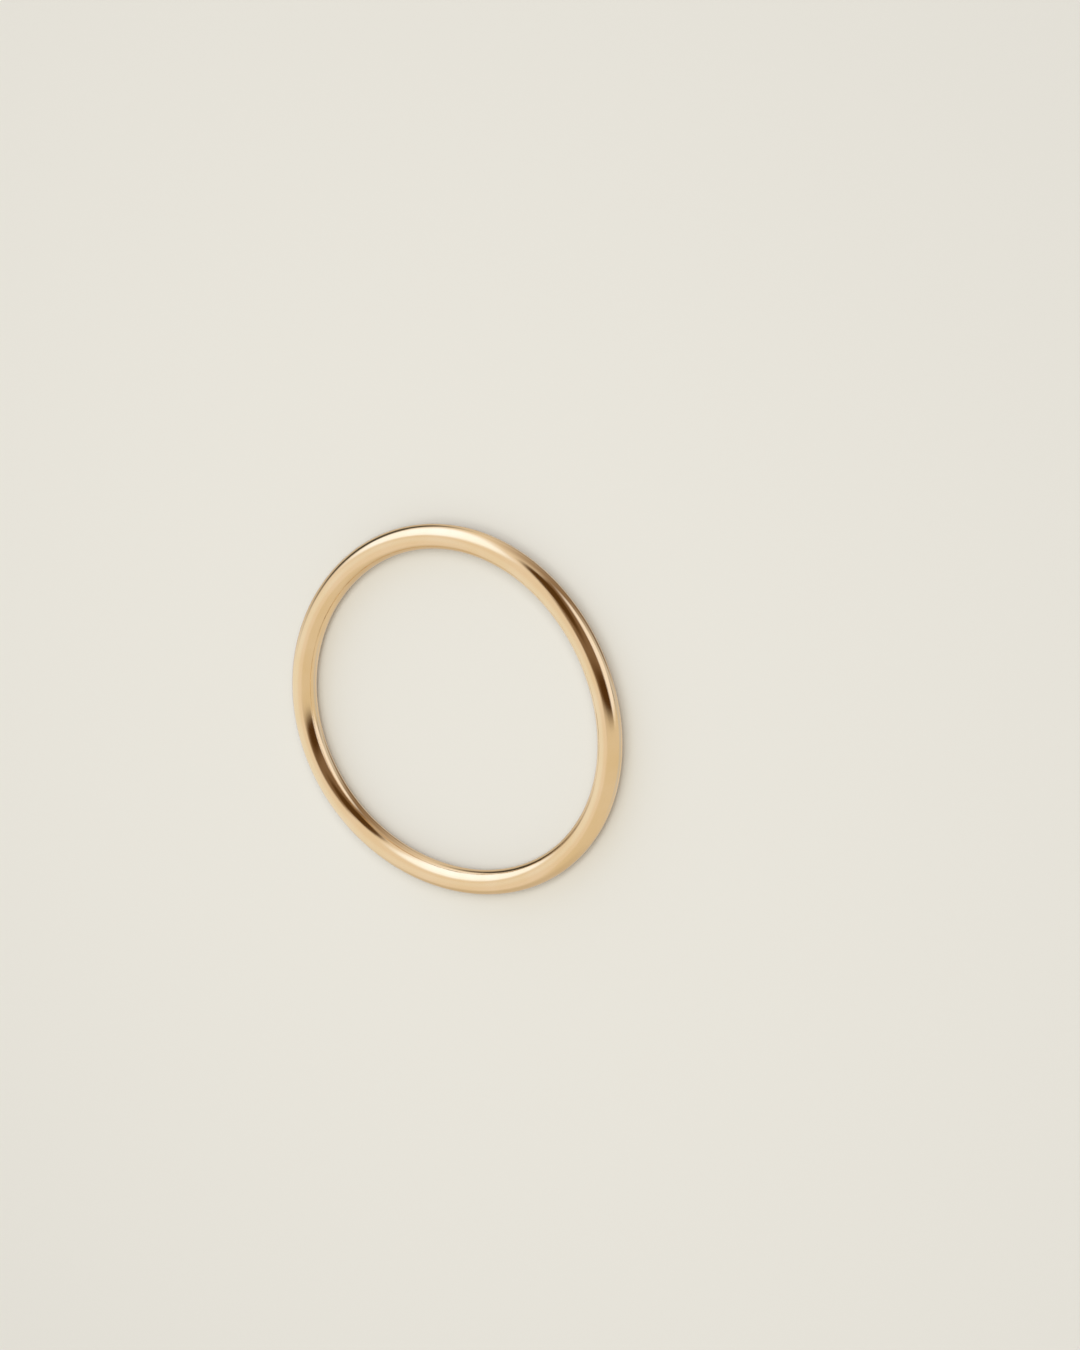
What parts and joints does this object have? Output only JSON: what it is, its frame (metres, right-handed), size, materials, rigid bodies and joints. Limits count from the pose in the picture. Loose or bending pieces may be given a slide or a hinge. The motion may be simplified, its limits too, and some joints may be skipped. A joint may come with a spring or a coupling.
{
  "type": "plain finger ring",
  "caption": "Plain finger ring: a closed loop of slim round wire in polished yellow gold, worn round a finger, here lying on its side.",
  "frame": {"origin": "centre of the finger hole, on the surface that the ring lies on", "axes": "+Z is the axis of the finger hole, straight up as the ring lies on its side; X and Y are any two directions across the ring"},
  "size_m": [0.02, 0.02, 0.0013],
  "materials": {
    "yellow_gold": "polished 14 karat yellow gold with fine hairline polishing marks"
  },
  "bodies": {
    "root": {"ring_band": "yellow_gold"}
  },
  "joints": []
}
